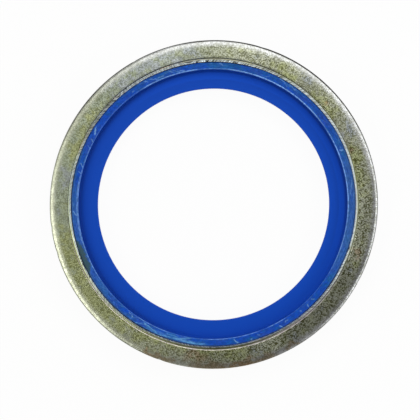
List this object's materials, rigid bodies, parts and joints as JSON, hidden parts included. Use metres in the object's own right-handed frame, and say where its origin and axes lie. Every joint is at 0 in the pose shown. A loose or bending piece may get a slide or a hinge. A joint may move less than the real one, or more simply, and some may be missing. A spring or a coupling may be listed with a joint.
{
  "type": "bonded sealing washer",
  "caption": "Flat zinc-plated steel ring with a blue rubber sealing lip bonded in its bore and a thin inner membrane that centres it on a pipe thread.",
  "frame": {"origin": "on the washer's axis, level with the crest of the lower lip, which it lies on", "axes": "+Z along the washer's axis, towards the side with the rolled outer edge"},
  "size_m": [0.0428, 0.0428, 0.0041],
  "materials": {
    "plated_steel": "zinc plated and yellow-green passivated, fine matt grain on the faces, smoother on the rolled edge",
    "blue_rubber": "moulded blue rubber, satin, lightly scuffed on the lip"
  },
  "bodies": {
    "root": {"steel_ring": "plated_steel", "rubber_seal": "blue_rubber"}
  },
  "joints": []
}
